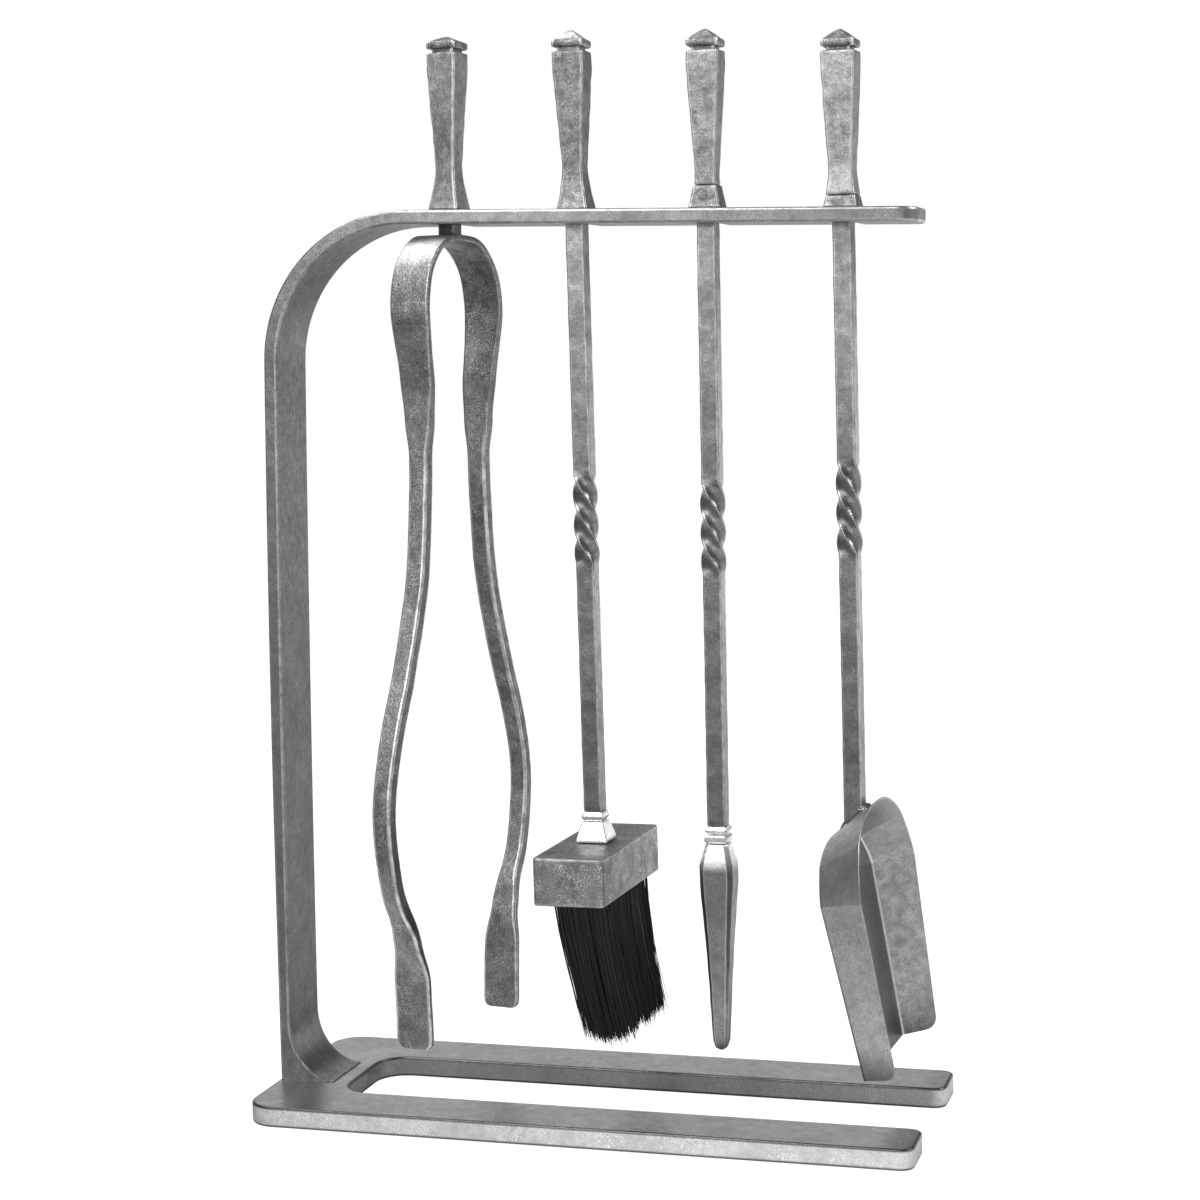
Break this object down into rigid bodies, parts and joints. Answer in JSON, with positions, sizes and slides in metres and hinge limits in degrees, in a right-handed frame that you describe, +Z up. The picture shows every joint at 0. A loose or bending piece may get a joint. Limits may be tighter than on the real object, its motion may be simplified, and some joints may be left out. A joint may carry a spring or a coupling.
{
  "type": "fireplace tool set",
  "caption": "Arched flat-bar stand on a U-shaped plate with tongs, brush, poker and shovel hanging in notches that open to the back",
  "frame": {"origin": "on the underside of the foot plate, in the middle of its heel, below the upright", "axes": "+X along the arm towards its free end, +Y to the back, where the notches open, +Z up"},
  "size_m": [0.446, 0.204, 0.7113],
  "materials": {
    "steel": "hand-rubbed natural steel, mottled grey with bright worn flecks and edges",
    "sheet_steel": "smooth satin grey sheet",
    "bright_steel": "ground bright",
    "dark_steel": "dark unpolished steel",
    "board_wood": "bare hardwood",
    "bristle": "stiff black fibre"
  },
  "bodies": {
    "stand": {"base_plate": "steel", "stand_bar": "steel", "foot_screw_front": "dark_steel", "foot_screw_back": "dark_steel"},
    "tongs": {"tongs_cap": "steel", "tongs_grip": "steel", "tongs_neck": "dark_steel", "tongs_bow": "steel"},
    "tongs_front_arm": {"tongs_front_leg": "steel"},
    "tongs_back_arm": {"tongs_back_leg": "steel"},
    "brush": {"brush_cap": "steel", "brush_grip": "steel", "brush_shaft": "steel", "brush_bead": "bright_steel", "brush_ferrule": "bright_steel", "brush_block": "steel", "brush_board": "board_wood", "brush_bristles": "bristle"},
    "poker": {"poker_cap": "steel", "poker_grip": "steel", "poker_bolster": "steel", "poker_shaft": "steel", "poker_bead": "bright_steel", "poker_collar": "bright_steel", "poker_head": "steel"},
    "shovel": {"shovel_cap": "steel", "shovel_grip": "steel", "shovel_bolster": "steel", "shovel_shaft": "steel", "shovel_pan": "sheet_steel"}
  },
  "joints": [
    {"name": "tongs_pull_out", "type": "slide", "parent": "stand", "child": "tongs", "axis": [0, 1, 0], "range_m": [0, 0.09]},
    {"name": "brush_pull_out", "type": "slide", "parent": "stand", "child": "brush", "axis": [0, 1, 0], "range_m": [0, 0.09]},
    {"name": "poker_pull_out", "type": "slide", "parent": "stand", "child": "poker", "axis": [0, 1, 0], "range_m": [0, 0.09]},
    {"name": "shovel_pull_out", "type": "slide", "parent": "stand", "child": "shovel", "axis": [0, 1, 0], "range_m": [0, 0.09]},
    {"name": "tongs_front_squeeze", "type": "hinge", "parent": "tongs", "child": "tongs_front_arm", "pos_m": [0.09827, -0.05643, 0.5419], "axis": [0.9895, -0.1444, 0], "range_deg": [0, 6.8], "stiffness_Nm_per_rad": 20, "springref_deg": -0.57},
    {"name": "tongs_back_squeeze", "type": "hinge", "parent": "tongs", "child": "tongs_back_arm", "pos_m": [0.11287, 0.04367, 0.53936], "axis": [-0.9895, 0.1444, 0], "range_deg": [0, 6.8], "stiffness_Nm_per_rad": 20, "springref_deg": -0.57}
  ],
  "couplings": [
    {"joint": "tongs_back_squeeze", "follows": "tongs_front_squeeze", "ratio": 1}
  ]
}
